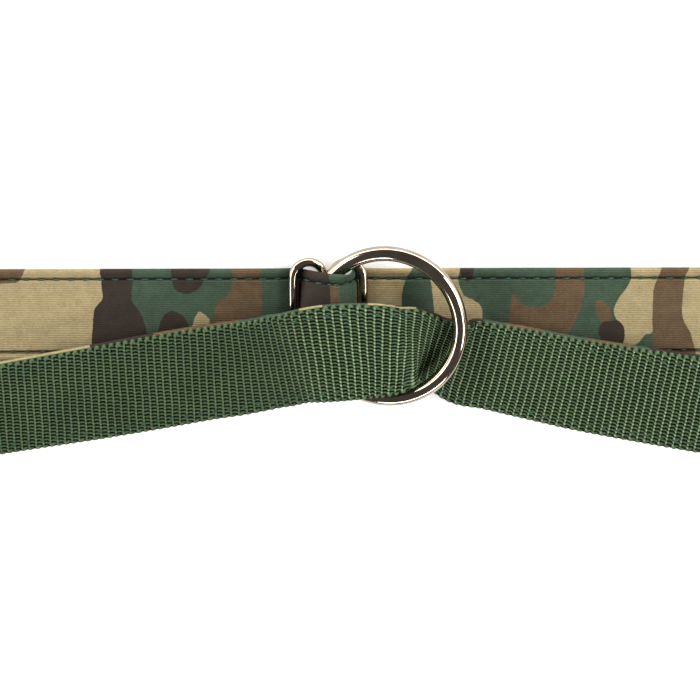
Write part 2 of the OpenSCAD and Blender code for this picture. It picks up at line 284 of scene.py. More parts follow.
def metal_material():
    """Polished nickel plate with faint wiping marks and cloudy patches."""
    n = MaterialNodes("polished_nickel")
    place = n.add("ShaderNodeTexCoord").outputs["Object"]
    cloud = n.noise(place, 160, 3)
    marks = n.noise(n.stretch(place, (900.0, 900.0, 2600.0)), 1.0, 3, 0.6)
    colour = n.mix(n.ramp(cloud, 0.3, 0.7), rgb(152, 137, 121), rgb(172, 159, 143))
    rough = n.math("ADD", n.ramp(cloud, 0.3, 0.8, 0.07, 0.12), n.ramp(marks, 0.5, 0.8, 0.0, 0.08))
    return n.shade(
        Base_Color=colour, Metallic=1.0, Roughness=rough, Normal=n.bump(marks, 0.002 * MM, 0.25)
    )


WEBBING = webbing_material()
LINING = lining_material()
THREAD = thread_material()
METAL = metal_material()

# ---------------- mesh helpers


def new_object(name, mesh, material):
    mesh.materials.append(material)
    obj = bpy.data.objects.new(name, mesh)
    bpy.context.scene.collection.objects.link(obj)
    return obj


def raw_mesh(name, points, faces, attributes, normals=None):
    """A smooth-shaded mesh from numpy points in mm, with float or vector point attributes."""
    mesh = bpy.data.meshes.new(name)
    mesh.from_pydata((points * MM).tolist(), [], faces)
    mesh.polygons.foreach_set("use_smooth", np.ones(len(mesh.polygons), bool))
    for key, values in attributes.items():
        kind, field = ("FLOAT_VECTOR", "vector") if values.ndim == 2 else ("FLOAT", "value")
        layer = mesh.attributes.new(key, kind, "POINT")
        layer.data.foreach_set(field, values.astype(np.float32).ravel())
    if normals is not None:
        mesh.normals_split_custom_set_from_vertices(normals.tolist())
    mesh.update()
    return mesh


def tube_faces(rows, cols, close_ends=True):
    """Faces of a tube made of rows of cols points each."""
    i, j = np.meshgrid(np.arange(rows - 1), np.arange(cols), indexing="ij")
    a, b = i * cols + j, i * cols + (j + 1) % cols
    faces = np.stack([a, b, b + cols, a + cols], -1).reshape(-1, 4).tolist()
    if close_ends:
        faces.append(list(range(cols))[::-1])
        faces.append([(rows - 1) * cols + k for k in range(cols)])
    return faces


def tube_piece(name, points, attributes, normals, material):
    """A closed tube; points, attributes and normals are given as rows x cols."""
    rows, cols = points.shape[:2]
    data = {
        key: values.reshape(rows * cols, -1) if values.ndim == 3 else values.ravel()
        for key, values in attributes.items()
    }
    faces = tube_faces(rows, cols)
    mesh = raw_mesh(name, points.reshape(-1, 3), faces, data, normals.reshape(-1, 3))
    return new_object(name, mesh, material)


def grid_normals(points):
    """Unit normals of a tube given as rows x cols x 3, outward for tube_faces' winding."""
    along = np.gradient(points, axis=0)
    around = np.roll(points, -1, 1) - np.roll(points, 1, 1)
    normals = np.cross(around, along)
    return normals / np.maximum(np.linalg.norm(normals, axis=2, keepdims=True), 1e-12)


def smooth_steps(low, high, x):
    t = np.clip((x - low) / (high - low), 0, 1)
    return t * t * (3 - 2 * t)


def ripple(seed, *terms):
    """A repeatable wandering function of the arrays in terms, given as (array, wavelength)."""
    local = random.Random(seed)
    total = 0.0
    for k in range(4):
        angle = sum(
            2 * math.pi * values / (wavelength * local.uniform(0.6, 1.6))
            for values, wavelength in terms
        )
        total = total + local.uniform(0.6, 1.0) * np.sin(angle + local.uniform(0, 6.28))
    return total / 4


# ---------------- strap shapes, as in the CAD part

FAR_WIDTH, NEAR_WIDTH, STRAP_T = 25.0, 27.5, 3.0
FAR_MIDDLE_Y = 1.8  # the far strap's middle, from the O-ring's centre
LINED_HALF = 119.0  # half the lined length
WEB_INSET, FAR_WEB_INSET = 0.4, 1.0  # from a strap's edge to its webbing's
WEB_SHARE = 0.4  # the webbing's share of the thickness
RING_RADIUS, RING_WIRE, RING_LEAN, RING_Z = 19.5, 4.0, math.radians(10.8), 8.4
RING_WELD_AT = math.radians(200)
BAR_X, SLIDER_PITCH, SLIDER_WIRE = -15.5, 9.35, 2.4
SEAM_INSET = 2.8
RIB_AVERAGE = 11  # stretch over which the near strap's ribs share a direction
RIB_GIVE = 2.5  # stretch over which a rib may bend where the strap drops steeply
FINE = 16  # samples between two keys of a strap's centre line
GRID_STEP = 0.25  # length between two rows of a strap's grid
SPLIT_AT = 1.0  # where a strap is cut into its two halves


def ring_height(x):
    return RING_Z + x * math.tan(RING_LEAN)


def far_keys(y):
    """Far strap centre line at width position y: x, height, thickness."""
    def arc_x(r):
        return -math.sqrt(max(r * r - y * y, 1))

    wire = arc_x(RING_RADIUS)
    inner = max(-12.5, arc_x(RING_RADIUS - RING_WIRE / 2 + 0.3) + 0.25)
    leg = BAR_X - SLIDER_PITCH + SLIDER_WIRE / 2
    rise = max(leg + 1.1, (leg + 0.65 + wire - 2.2) / 2)
    over = RING_WIRE / 2 + 0.5
    pinch = 0.2 * max(0, abs(y - FAR_MIDDLE_Y) - 8.7)
    middle = (wire + inner) / 2
    return np.array([
        (-LINED_HALF, 1.5, 3), (-80, 1.5, 3), (-50, 1.5, 3), (-36, 1.5, 3), (-30, 1.45, 2.9),
        (-26.9, 1.3, 2.3), (-24.85, 1.2, 1.6), (-23, 1.75, 1.35),
        (rise, (4.3 + ring_height(wire)) / 2, 1.35),
        (wire - 2.3, ring_height(wire) + 2.3, 1.6),
        (wire, ring_height(wire) + over + 1, 2),
        (middle, ring_height(middle) + over + 1.05, 2.1),
        (inner, ring_height(inner) + over + 1.05, 2.1),
        (-8.9 - 0.35 * pinch, 5.4, 1.4), (-8.15 - pinch, 2.3, 1.35),
        (-6.15, 1.2, 1.6), (-4.2, 1.35, 2.4), (-1.5, 1.45, 2.9),
        (4, 1.5, 3), (18, 1.5, 3), (50, 1.5, 3), (80, 1.5, 3), (LINED_HALF, 1.5, 3),
    ], float)


# near strap: x, upper edge y, upper edge z, lower edge y, lower edge z
NEAR_KEYS = np.array([
    (-LINED_HALF, -13.8, 1.5, -39.8, 1.5), (-110, -11.8, 4, -37.8, 1.5),
    (-101.8, -10.1, 5.4, -36.1, 1.6), (-75.5, -5, 6.4, -32, 1.6), (-49.2, 0.1, 7.6, -27.4, 1.7),
    (-36, 2, 8.1, -25, 2.5), (-28, 4.2, 9.8, -23, 6), (-20.3, 6.1, 12.5, -20.5, 11),
    (-12.4, 7.1, 13, -19.3, 12.9), (-5, 7.1, 12.9, -18.6, 12.6), (0, 6.8, 12.6, -18, 12.8),
    (3.5, 6.3, 11.9, -16.9, 12.3), (7, 5.5, 10.8, -15.35, 9.4), (10, 4.5, 9.6, -15.9, 5.8),
    (13.5, 3.7, 8.6, -18.5, 3.9), (19.2, 2.4, 8, -22.6, 2.2), (27, 1.2, 8, -24.2, 1.9),
    (35, -0.1, 7.7, -26.3, 1.7), (50.8, -3.5, 6.8, -30.1, 1.6), (82, -8.6, 5.8, -36.1, 1.6),
    (95, -10.9, 5.1, -38.2, 1.5), (104, -12.4, 3.2, -39.6, 1.5),
    (LINED_HALF, -14.8, 1.5, -41.9, 1.5),
], float)


def stations(keys, steps):
    """A smooth curve through the keys, with this many samples between two of them."""
    before, after = np.vstack([keys[:1], keys[:-1]]), np.vstack([keys[1:], keys[-1:]])
    size = np.linalg.norm(np.diff(keys, axis=0), axis=1)
    size_before, size_after = np.append(0, size), np.append(size, 0)
    out = []
    for k in range(len(keys) - 1):
        slope_a = (after[k] - before[k]) * size[k] / (size[k] + size_before[k] + 0.001)
        slope_b = (after[k + 1] - keys[k]) * size[k] / (size_after[k + 1] + size[k] + 0.001)
        s = np.linspace(0, 1, steps, endpoint=False)[:, None]
        out.append(
            keys[k] * (2 * s**3 - 3 * s**2 + 1) + slope_a * (s**3 - 2 * s**2 + s)
            + keys[k + 1] * (3 * s**2 - 2 * s**3) + slope_b * (s**3 - s**2)
        )
    out.append(keys[-1:])
    return np.vstack(out)


def lengths_along(line):
    """Length from the first point of a line to each of its points."""
    return np.append(0, np.cumsum(np.linalg.norm(np.diff(line, axis=0), axis=1)))


class Strap:
    """A strap's middle surface on a grid of length s and width position v, in mm."""

    def __init__(self, middle, up, thickness, widths, zero_x=None):
        """s counts from where the centre line passes zero_x, or from its first point."""
        self.widths = widths
        centre = middle[:, len(widths) // 2]
        length = lengths_along(centre)
        if zero_x is not None:
            length -= np.interp(zero_x, centre[:, 0], length)
        self.start, self.end = length[0], length[-1]
        self.s = np.arange(math.ceil(self.start / GRID_STEP) * GRID_STEP, self.end, GRID_STEP)
        self.s = np.unique(np.concatenate([[self.start], self.s, [self.end]]))
        stacked = np.concatenate([middle, up, thickness[..., None]], axis=2)
        self.grid = np.empty((len(self.s), len(widths), 7))
        for c in range(len(widths)):
            for k in range(7):
                self.grid[:, c, k] = np.interp(self.s, length, stacked[:, c, k])

    def place(self, s, v, share, height):
        """Points at length s, width v, share of the thickness, plus a height off it."""
        s, v, share, height = np.broadcast_arrays(s, v, share, height)
        row = np.clip(np.searchsorted(self.s, s) - 1, 0, len(self.s) - 2)
        col = np.clip(np.searchsorted(self.widths, v) - 1, 0, len(self.widths) - 2)
        a = ((s - self.s[row]) / (self.s[row + 1] - self.s[row]))[..., None]
        b = ((v - self.widths[col]) / (self.widths[col + 1] - self.widths[col]))[..., None]
        g = self.grid
        mixed = (g[row, col] * (1 - a) + g[row + 1, col] * a) * (1 - b) + (
            g[row, col + 1] * (1 - a) + g[row + 1, col + 1] * a) * b
        lift = (share - 0.5) * mixed[..., 6] + height
        return mixed[..., :3] + mixed[..., 3:6] * lift[..., None]


def make_far():
    widths = np.linspace(-12.5, 12.5, 41)
    columns = [stations(far_keys(FAR_MIDDLE_Y + v), FINE) for v in widths]
    line = np.stack(columns, 1)
    y = np.broadcast_to(FAR_MIDDLE_Y + RING_SHIFT_Y + widths, line.shape[:2])
    middle = np.stack([line[..., 0], y, line[..., 1]], -1)
    slope = np.gradient(line[..., :2], axis=0)
    slope /= np.linalg.norm(slope, axis=2, keepdims=True)
    up = np.stack([-slope[..., 1], 0 * y, slope[..., 0]], -1)
    return Strap(middle, up, line[..., 2], widths, -12.2)


def near_middle(p, turn, m):
    shift = (0.5 - m) * (p[:, 1] - p[:, 3]) * np.sin(turn) * np.cos(turn)
    return np.stack([
        p[:, 0] + shift,
        p[:, 3] + (p[:, 1] - p[:, 3]) * m + shift * np.tan(turn) + RING_SHIFT_Y,
        p[:, 4] + (p[:, 2] - p[:, 4]) * m,
    ], -1)


def turn_of(p):
    """Direction of the near strap's centre line in plan at each station."""
    middle = np.stack([p[:, 0], (p[:, 1] + p[:, 3]) / 2], 1)
    step = np.vstack([middle[1:], middle[-1:]]) - np.vstack([middle[:1], middle[:-1]])
    return np.arctan2(step[:, 1], step[:, 0])


def averaged(length, reach):
    """Weights that average a value along a line with points at these lengths."""
    weight = np.exp(-(((length[:, None] - length) / reach) ** 2)) * np.gradient(length)
    return weight / weight.sum(1, keepdims=True)


def straighten(middle, up):
    """The same surface, its points slid along so that each row runs nearly straight across,
    square to the strap's direction averaged over a stretch of it."""
    centre = middle[:, middle.shape[1] // 2, :2]
    step = np.gradient(centre, axis=0)
    length = lengths_along(centre)
    ahead = averaged(length, RIB_AVERAGE) @ (step / np.linalg.norm(step, axis=1, keepdims=True))
    both = np.concatenate([middle, up], 2)
    slid = np.empty_like(both)
    place = np.arange(len(centre))
    for c in range(both.shape[1]):
        beyond = (both[None, :, c, :2] - centre[:, None]) @ ahead[:, :, None]
        at = np.array([np.interp(0, row, place) for row in beyond[..., 0]])
        at = place + averaged(length, RIB_GIVE) @ (at - place)
        for k in range(6):
            slid[:, c, k] = np.interp(at, place, both[:, c, k])
    return slid[..., :3], slid[..., 3:]


def make_near():
    widths = np.linspace(-NEAR_WIDTH / 2, NEAR_WIDTH / 2, 41)
    p = stations(NEAR_KEYS, FINE)
    turn = turn_of(p)
    across = np.linalg.norm(near_middle(p, turn, 1.0) - near_middle(p, turn, 0.0), axis=1)
    columns = [near_middle(p, turn, 0.5 + v / np.maximum(across, NEAR_WIDTH)) for v in widths]
    middle = np.stack(columns, 1)
    up = np.cross(np.gradient(middle, axis=0), np.gradient(middle, axis=1))
    up /= np.linalg.norm(up, axis=2, keepdims=True)
    middle, up = straighten(middle, up)
    return Strap(middle, up, np.full(middle.shape[:2], STRAP_T), widths, -1.0)


FAR, NEAR = make_far(), make_near()

# ---------------- woven webbing

RIB_PITCH = 1.95  # between two weft picks
YARN_PITCH = 1.0  # between two warp yarns
YARN_STEP, RIB_STEP = 0.2, 0.195
RIDGE_AT = 0.84  # where in a rib the yarns bunch into a ridge
GAP_DEPTH = 0.62  # of the gaps between yarns
EASE, EASE_AT, EASE_REACH = 1.2, 12.3, 3.0  # the near webbing's drop through the O-ring
LEAN, LEAN_FROM, LEAN_TO = 0.14, -50, -18  # the near webbing's ribs left of the O-ring
RIDGE_SHADE, RIDGE_SHADE_FROM, RIDGE_SHADE_TO = 0.45, -34, -14  # painted shade: its ridges are painted darker there, where they lie in shade


def weave_height(s, v, seed):
    """Height below the ridges of a ribbed weave, and how much of a ridge's bead each point is.
    Each yarn floats across a rib, then drops into the ridge that closes it."""
    s = s + 0.13 * ripple(seed, (v, 14), (s, 45))
    v = v + 0.08 * ripple(seed + 1, (s, 16), (v, 9)) + 0.08 * ripple(seed + 8, (s, 3.1), (v, 4.3))
    rib = s / RIB_PITCH
    part = rib - np.floor(rib)
    drift = 0.42 * smooth_steps(0.38, 0.95, part) + 0.5 * (np.floor(rib) % 2)
    across = v / YARN_PITCH + drift
    off = np.abs(across - np.round(across))
    crown = ((part - 0.38) / 0.42) ** 2
    yarn = -0.2 - 0.12 * crown - 0.5 * (off / 0.37) ** 2.2
    yarn = np.where(part < 0.12, yarn - 2.2 * (0.12 - part), yarn)
    from_line = (part - RIDGE_AT + 0.5) % 1.0 - 0.5
    bead = 0.5 + 0.5 * np.cos(2 * math.pi * (across + 0.08))
    ridge = -0.28 * (1 - bead) - 0.3 * (np.abs(from_line) / (0.12 + 0.05 * bead)) ** 2
    loose = 0.03 * ripple(seed + 2, (s, 5), (v, 3))
    # painted highlight: how strongly each point is painted pale, most on the ridge's beads
    bright = np.exp(-((from_line / 0.17) ** 2)) * (0.15 + 0.85 * bead)
    return np.maximum(np.maximum(yarn, ridge), -GAP_DEPTH) + loose, bright


def leaning(s, v, lean):
    """Length at which a point's rib crosses the middle of the band."""
    return s - lean * v * (1 - smooth_steps(LEAN_FROM, LEAN_TO, s))


def knuckles(rib_s):
    """The weft's turns at the edges of a band, one at each rib."""
    return np.abs(np.cos(math.pi * (rib_s / RIB_PITCH - RIDGE_AT - 0.2))) ** 1.5


def hanging(s, v, ease):
    """How far the lower edge hangs out where the band drops through the O-ring."""
    return ease * (v < 0) * np.exp(-(((s - EASE_AT) / EASE_REACH) ** 2))


def woven_band(place, s, half, seed, shares, face, ease=0.0, lean=0.0):
    """One woven band. face is 1 where the ribs show on the upper side, -1 for the lower.
    shares are the shares of the strap's thickness at the woven face and at the plain back."""
    front, back = shares
    v = np.linspace(-half, half, 2 * int(round(half / YARN_STEP)) + 1)
    front_s, front_v = np.meshgrid(s, v, indexing="ij")
    rib_s = leaning(front_s, front_v, lean)
    height, bright = weave_height(rib_s, front_v, seed)
    knuckle = knuckles(rib_s)
    to_edge = half - np.abs(front_v)
    selvedge = 1 - smooth_steps(0.2, 1.0, to_edge)
    height = height + selvedge * (-0.14 - 0.42 * (1 - knuckle) - height)
    # painted highlight on the weft's turns at the band's edges, uneven along them
    bright = bright + selvedge * (0.12 * knuckle + 0.12 * ripple(seed + 7, (front_s, 3)) - bright)
    # painted shade: left of the O-ring the near webbing's ridges are painted darker, where they lie
    # in shade
    if face > 0:
        bright = bright * (RIDGE_SHADE + (1 - RIDGE_SHADE) * smooth_steps(RIDGE_SHADE_FROM, RIDGE_SHADE_TO, front_s))
    rounding = 0.5 * (1 - smooth_steps(0.0, 0.7, to_edge)) ** 1.5
    bump = 0.3 * knuckle + 0.05 * ripple(seed + 5, (front_s, 7)) + hanging(front_s, front_v, ease)
    pushed = front_v + np.sign(front_v) * (bump - 0.1) * (1 - smooth_steps(0.0, 1.3, to_edge))

    steps = np.array([0.3, 0.6, 0.9])   # down the side, from the woven face to the back
    side_v = half + 0.05 - 0.25 * (steps - 0.5) ** 2
    side_share = front + (back - front) * (0.35 + 0.6 * steps)
    across = np.concatenate([side_v, np.linspace(half - 0.4, -half + 0.4, 9), -side_v[::-1]])
    back_share = np.concatenate([side_share, np.full(9, back), side_share[::-1]])
    back_s, back_v = np.meshgrid(s, across, indexing="ij")
    loop = knuckles(leaning(back_s, back_v, lean))
    outer = np.abs(back_v) > half - 0.2
    swell = 0.3 * loop - 0.1 + hanging(back_s, back_v, ease)
    back_v = back_v + np.where(outer, np.sign(back_v) * swell, 0)

    points = np.concatenate([
        place(front_s, pushed, front, face * (height - rounding)),
        place(back_s, back_v, np.broadcast_to(back_share, back_s.shape), 0.0),
    ], axis=1)
    flat_s = np.concatenate([front_s, back_s], 1)
    flat_v = np.concatenate([front_v, back_v], 1)
    around = slice(None) if face > 0 else slice(None, None, -1)
    return points[:, around], {
        "flat": np.stack([flat_s, flat_v, 0 * flat_s + seed], -1)[:, around],
        # weave: how far up out of the gaps each point is, for the painted shade in the gaps; on the
        # back, painted darker between the edge loops
        "weave": np.concatenate(
            [1 + height / GAP_DEPTH, np.where(outer, 0.3 + 0.5 * loop, 0.6)], 1)[:, around],
        # ridge: painted highlight on the beads, the edge loops and faintly on the plain back
        "ridge": np.concatenate([bright, np.where(outer, 0.5 * loop, 0.2)], 1)[:, around],
    }


def split_tube(stem, points, attributes, s, material):
    """Two pieces of one tube, cut at length SPLIT_AT, sharing the same normals at the cut."""
    normals = grid_normals(points)
    cut = int(np.argmin(np.abs(s - SPLIT_AT)))
    for side, rows in (("left", slice(0, cut + 1)), ("right", slice(cut, None))):
        data = {key: values[rows] for key, values in attributes.items()}
        yield tube_piece(f"{stem}_{side}_half", points[rows], data, normals[rows], material)


def make_webbing():
    """The woven side of both straps: under the far strap, on top of the near strap."""
    bands = (
        ("far", FAR, FAR_WIDTH / 2 - FAR_WEB_INSET, 11, (0.0, WEB_SHARE), -1, 0.0, 0.0),
        ("near", NEAR, NEAR_WIDTH / 2 - WEB_INSET, 23, (1.0, 1 - WEB_SHARE), 1, EASE, LEAN),
    )
    for strap, surface, half, seed, shares, face, ease, lean in bands:
        first = math.ceil(surface.start / RIB_STEP) * RIB_STEP
        s = np.arange(first, surface.end, RIB_STEP)
        points, data = woven_band(surface.place, s, half, seed, shares, face, ease, lean)
        for piece in split_tube(strap + "_webbing", points, data, s, WEBBING):
            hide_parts(strap + "_webbing")
            SOFT.append((piece, strap))


# ---------------- printed lining

STITCH_PITCH = 2 * RIB_PITCH
SEAM_DEPTH = 1.0  # of the groove that a seam pulls in

# camouflage shapes, in mm along and across the strap; each is a smooth closed outline
CAMO_FAR = {
    "tan": [
        [(-104, 12), (-104, -14), (-77.5, -14), (-77.5, 0.5), (-76.3, 3), (-75, 5), (-75.3, 14)],
        [(-49.7, 1.3), (-48, 0.2), (-46.6, -1.7), (-48.2, -3.4), (-51.6, -3.9), (-51, -1.5)],
        [(-7, 14), (-7, -14), (4, -14), (3.9, 3), (4.7, 9), (6.6, 14)],
        [(11.6, 14), (12.4, 3), (13.5, -14), (24.5, -14), (25.3, 0), (24.7, 2.6), (22.9, 4),
         (20.3, 5.3), (18.9, 9), (18.9, 14)],
        [(64.7, 15), (64.5, 10), (63.2, 7), (61.1, 4), (60, 1), (60.8, -1.4), (62.6, -3),
         (62.6, -8), (66.3, -8), (68.4, -5.5), (70.5, -4.4), (71, 6), (74, 15)],
        [(80, 15), (78.7, 10), (78, 1), (78.7, -2.2), (80.5, -5.5), (82, -14), (108, -14), (104, 0),
         (107, 15)],
        [(-126, 14), (-124, 4), (-117, 1), (-112, 5), (-114, 14)],
        [(116, 14), (114, 5), (119, -2), (126, 0), (126, 14)],
    ],
    "brown": [
        [(-108, 15), (-107, 9.5), (-102, 8.8), (-97, 9.4), (-95.6, 15)],
        [(-40.5, 14), (-40.8, 9), (-41.6, 6), (-44.2, 3.7), (-45.5, 2), (-45.8, -1), (-49.2, -3.9),
         (-50, -9), (-47, -14), (-35, -14), (-33.2, -6), (-33.4, 14)],
        [(-15.5, 8.4), (-15.5, -14), (-12.4, -14), (-12.4, 8.4)],
        [(32.9, 5), (35.8, 3), (38.4, 2.1), (41.8, 2.4), (43.7, 4.5), (44.5, 7), (44.8, 14),
         (51.4, 14), (52.1, 9), (52.1, 5), (51.3, 1.8), (49.7, -2.2), (47.5, -6), (44, -14),
         (32.9, -14)],
        [(55, 3.2), (56.6, 4), (58.7, 2.4), (59.7, -0.6), (58.7, -2.3), (57.4, -3), (55.6, 0.2)],
        [(74, 15), (71.2, 9), (70.4, 6), (70.4, -4.4), (72, -14), (82, -14), (80.5, -5.5),
         (78.7, -2.2), (78, 1), (78.2, 6), (78.7, 10), (80.5, 15)],
        [(101, -14), (100, -6), (104, 1), (110, 3), (117, -3), (115, -14)],
        [(-105, -15), (-106, -9), (-109, -5), (-113, -4), (-116, -15)],
    ],
    "dark": [
        [(-75.3, 14), (-75, 5), (-76.3, 3), (-77.5, 0.5), (-77.5, -14), (-63, -14), (-63.8, -3),
         (-65.3, 1), (-67.4, 4.3), (-67.4, 14)],
        [(-56.3, 14), (-56.6, 9), (-55.5, 6.8), (-53, 5.8), (-50.4, 6.8), (-48.4, 9), (-46.6, 14)],
        [(-61, -14), (-60.6, -5), (-59.3, -0.5), (-56.8, 1.3), (-54, 0), (-52.2, -3.5), (-51.6, -14)],
        [(-24.2, 14), (-24.2, -14), (-15.5, -14), (-15.5, 14)],
        [(19.5, 14), (19.8, 10), (21.3, 9), (22.6, 10), (22.9, 14)],
        [(57, -2.3), (61, -1.6), (63, -4), (62.5, -8), (58, -8.5), (56, -5)],
        [(92, 14), (90, 7), (94, 3), (99, 6), (100, 14)],
    ],
    "green": [
        [(-107, 3), (-106, -3), (-110, -8), (-116, -4), (-114, 2)],
    ],
}

CAMO_NEAR = {
    "tan": [
        [(-124, 15), (-118, 2), (-100, 6), (-82, 1), (-78, 15)],
        [(-23, 15), (-22, 11), (-18, 11), (-17, 15)],
        [(-4.5, 15), (-5, 4), (1, -3), (6, 3), (7.4, 15)],
        [(38, -15), (42, -4), (56, -2), (66, -8), (64, -15)],
        [(88, 15), (90, 3), (101, -2), (108, 5), (106, 15)],
    ],
    "brown": [
        [(-62, 15), (-60, 5), (-50, -1), (-42, 4), (-40, 15)],
        [(-108, -15), (-100, -5), (-84, -7), (-80, -15)],
        [(31, 15), (33, 8), (36, 5), (39, 9), (41, 15)],
        [(54, 15), (52, 6), (60, 1), (66, 7), (65, 15)],
        [(-26, -15), (-22, -5), (-8, -6), (0, -15)],
    ],
    "dark": [
        [(-78, 15), (-76, 4), (-70, 0), (-64, 6), (-62, 15)],
        [(8.5, 15), (8, 5), (15, -1), (23, 4), (25, 15)],
        [(70, 15), (70, 4), (78, -4), (86, 3), (86, 15)],
        [(-54, -15), (-50, -7), (-40, -6), (-36, -15)],
        [(10, -15), (14, -6), (24, -8), (28, -15)],
        [(76, -15), (82, -7), (94, -9), (96, -15)],
    ],
    "green": [],
}


def smooth_outline(corners, steps=6):
    """A closed outline rounded through its corners."""
    p = np.array(corners, float)
    a, b, c, d = np.roll(p, 1, 0), p, np.roll(p, -1, 0), np.roll(p, -2, 0)
    out = []
    for t in np.arange(steps) / steps:
        out.append(
            b + 0.5 * t * (0.7 * (c - a)) * (1 - t) ** 2
            + (c - b) * (3 * t**2 - 2 * t**3)
            - 0.5 * t**2 * (1 - t) * 0.7 * (d - b)
        )
    return np.stack(out, 1).reshape(-1, 2)


def inside_distance(x, v, outlines):
    """Distance in mm to the nearest edge of the outlines, positive inside one of them."""
    grid, x, v = x.shape, x.ravel(), v.ravel()
    best = np.full(x.shape, -8.0)
    for corners in outlines:
        shape = smooth_outline(corners)
        near = (x > shape[:, 0].min() - 4) & (x < shape[:, 0].max() + 4)
        px, pv = x[near], v[near]
        if not len(px):
            continue
        distance, inside = np.full(px.shape, 99.0), np.zeros(px.shape, bool)
        for (ax, ay), (bx, by) in zip(shape, np.roll(shape, -1, 0)):
            ex, ey = bx - ax, by - ay
            t = np.clip(((px - ax) * ex + (pv - ay) * ey) / (ex * ex + ey * ey + 1e-9), 0, 1)
            distance = np.minimum(distance, np.hypot(px - ax - t * ex, pv - ay - t * ey))
            crosses = (ay > pv) != (by > pv)
            inside ^= crosses & (px < ax + (pv - ay) * ex / (ey if abs(ey) > 1e-9 else 1e-9))
        best[near] = np.maximum(best[near], np.where(inside, distance, -distance))
    return best.reshape(grid)


# half of the lining's section, from the middle of its inner face round the edge to its outer face:
# distance in from the strap's edge, share of the lining side's thickness
EDGE_ROLL = [
    (1.6, 0.0), (0.9, 0.02), (0.45, 0.10), (0.16, 0.24), (0.02, 0.42), (0.0, 0.58), (0.1, 0.74),
    (0.34, 0.88), (0.72, 0.97), (1.15, 1.0),
]
# distance of each point from the seam, across: a round roll falls to it, the field rises sharply
GROOVE = [-1.4, -1.1, -0.8, -0.55, -0.35, -0.2, -0.08, 0.0, 0.1, 0.2, 0.34, 0.6]
ROLL_SIDE, FIELD_SIDE = 1.65, 0.4  # how wide the groove is toward the edge and the field


def groove_weight(step):
    """1 at the seam and 0 away from it."""
    if step < 0:
        return (1 + step / ROLL_SIDE) ** 2
    return max(0.0, 1 - step / FIELD_SIDE) ** 1.2


def lining_section(width):
    """Width position, share from the inner to the outer face, and groove weight of each point."""
    half, seam = width / 2, width / 2 - SEAM_INSET
    inner = np.linspace(0, half - 2.4, 5)
    field = np.linspace(seam - 1.0, 0, 9)
    roll, groove = np.array(EDGE_ROLL), np.array(GROOVE)
    v = np.concatenate([inner, half - roll[:, 0], seam - groove, field])
    share = np.concatenate([
        0 * inner, roll[:, 1], np.full(len(groove), 0.98), 0.93 + 0.07 * (1 - (field / seam) ** 2)
    ])
    weight = [groove_weight(step) for step in GROOVE]
    weight = np.concatenate([0 * inner, 0 * roll[:, 0], weight, 0 * field])
    return [np.concatenate([a, sign * a[-2:0:-1]]) for a, sign in ((v, -1), (share, 1), (weight, 1))]


def lining_tube(surface, width, seed, inner_share, outer_share, face):
    """The padded side of a strap: foam wrapped in lining, with a rolled edge and two seams.
    Returns its rows' lengths and each point's place, length, width position and groove."""
    s = np.arange(math.ceil(surface.start * 2) / 2, surface.end, 0.5)
    v, share, groove = lining_section(width)
    gs, gv = np.meshgrid(s, v, indexing="ij")
    gw, gg = np.broadcast_to(share, gs.shape), np.broadcast_to(groove, gs.shape)
    phase = 2 * math.pi * gs / STITCH_PITCH
    hole = 0.5 - 0.5 * np.cos(phase)
    seam = width / 2 - SEAM_INSET
    beside = np.exp(-(((np.abs(gv) - seam) / 1.6) ** 2)) * (gw > 0.5)
    lift = -SEAM_DEPTH * gg * (0.72 + 0.28 * hole)
    lift = lift + 0.07 * beside * (1 - gg) * np.cos(phase + 0.4 * ripple(seed, (gs, 30)))
    lift = lift + (gw > 0.5) * (0.09 * ripple(seed + 3, (gs, 26), (gv, 18)) - 0.06)
    end_round = 1 - 0.35 * (1 - smooth_steps(0, 1.5, np.minimum(gs - s[0], s[-1] - gs)))
    wavy_v = gv * (1 + 0.002 * ripple(seed + 6, (gs, 22), (np.sign(gv) * 3, 11)))
    wavy_v = np.clip(wavy_v, -width / 2, width / 2)
    real_share = inner_share + (outer_share - inner_share) * gw * end_round
    points = surface.place(gs, wavy_v, real_share, face * lift)
    around = slice(None) if face > 0 else slice(None, None, -1)
    return s, points[:, around], gs[:, around], gv[:, around], gg[:, around]


def make_lining():
    sides = (
        ("far", FAR, FAR_WIDTH, 31, WEB_SHARE - 0.03, 1.0, 1, CAMO_FAR),
        ("near", NEAR, NEAR_WIDTH, 47, 1 - WEB_SHARE + 0.03, 0.0, -1, CAMO_NEAR),
    )
    for strap, surface, width, seed, inner, outer, face, camo in sides:
        s, points, gs, gv, groove_shade = lining_tube(surface, width, seed, inner, outer, face)
        # the seam grooves' weight, used to paint shade into the lining's colour
        data = {"flat": np.stack([gs, gv, 0 * gs + seed], -1), "groove_shade": groove_shade}
        for colour, outlines in camo.items():
            data["camo_" + colour] = inside_distance(points[..., 0], gv, outlines)
        for piece in split_tube(strap + "_lining", points, data, s, LINING):
            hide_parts(strap + "_lining", strap + "_foam_core")
            SOFT.append((piece, strap))


SOFT = []
make_webbing()
make_lining()

# ---------------- metal wire

WIRE_SIDES, THREAD_SIDES = 24, 8


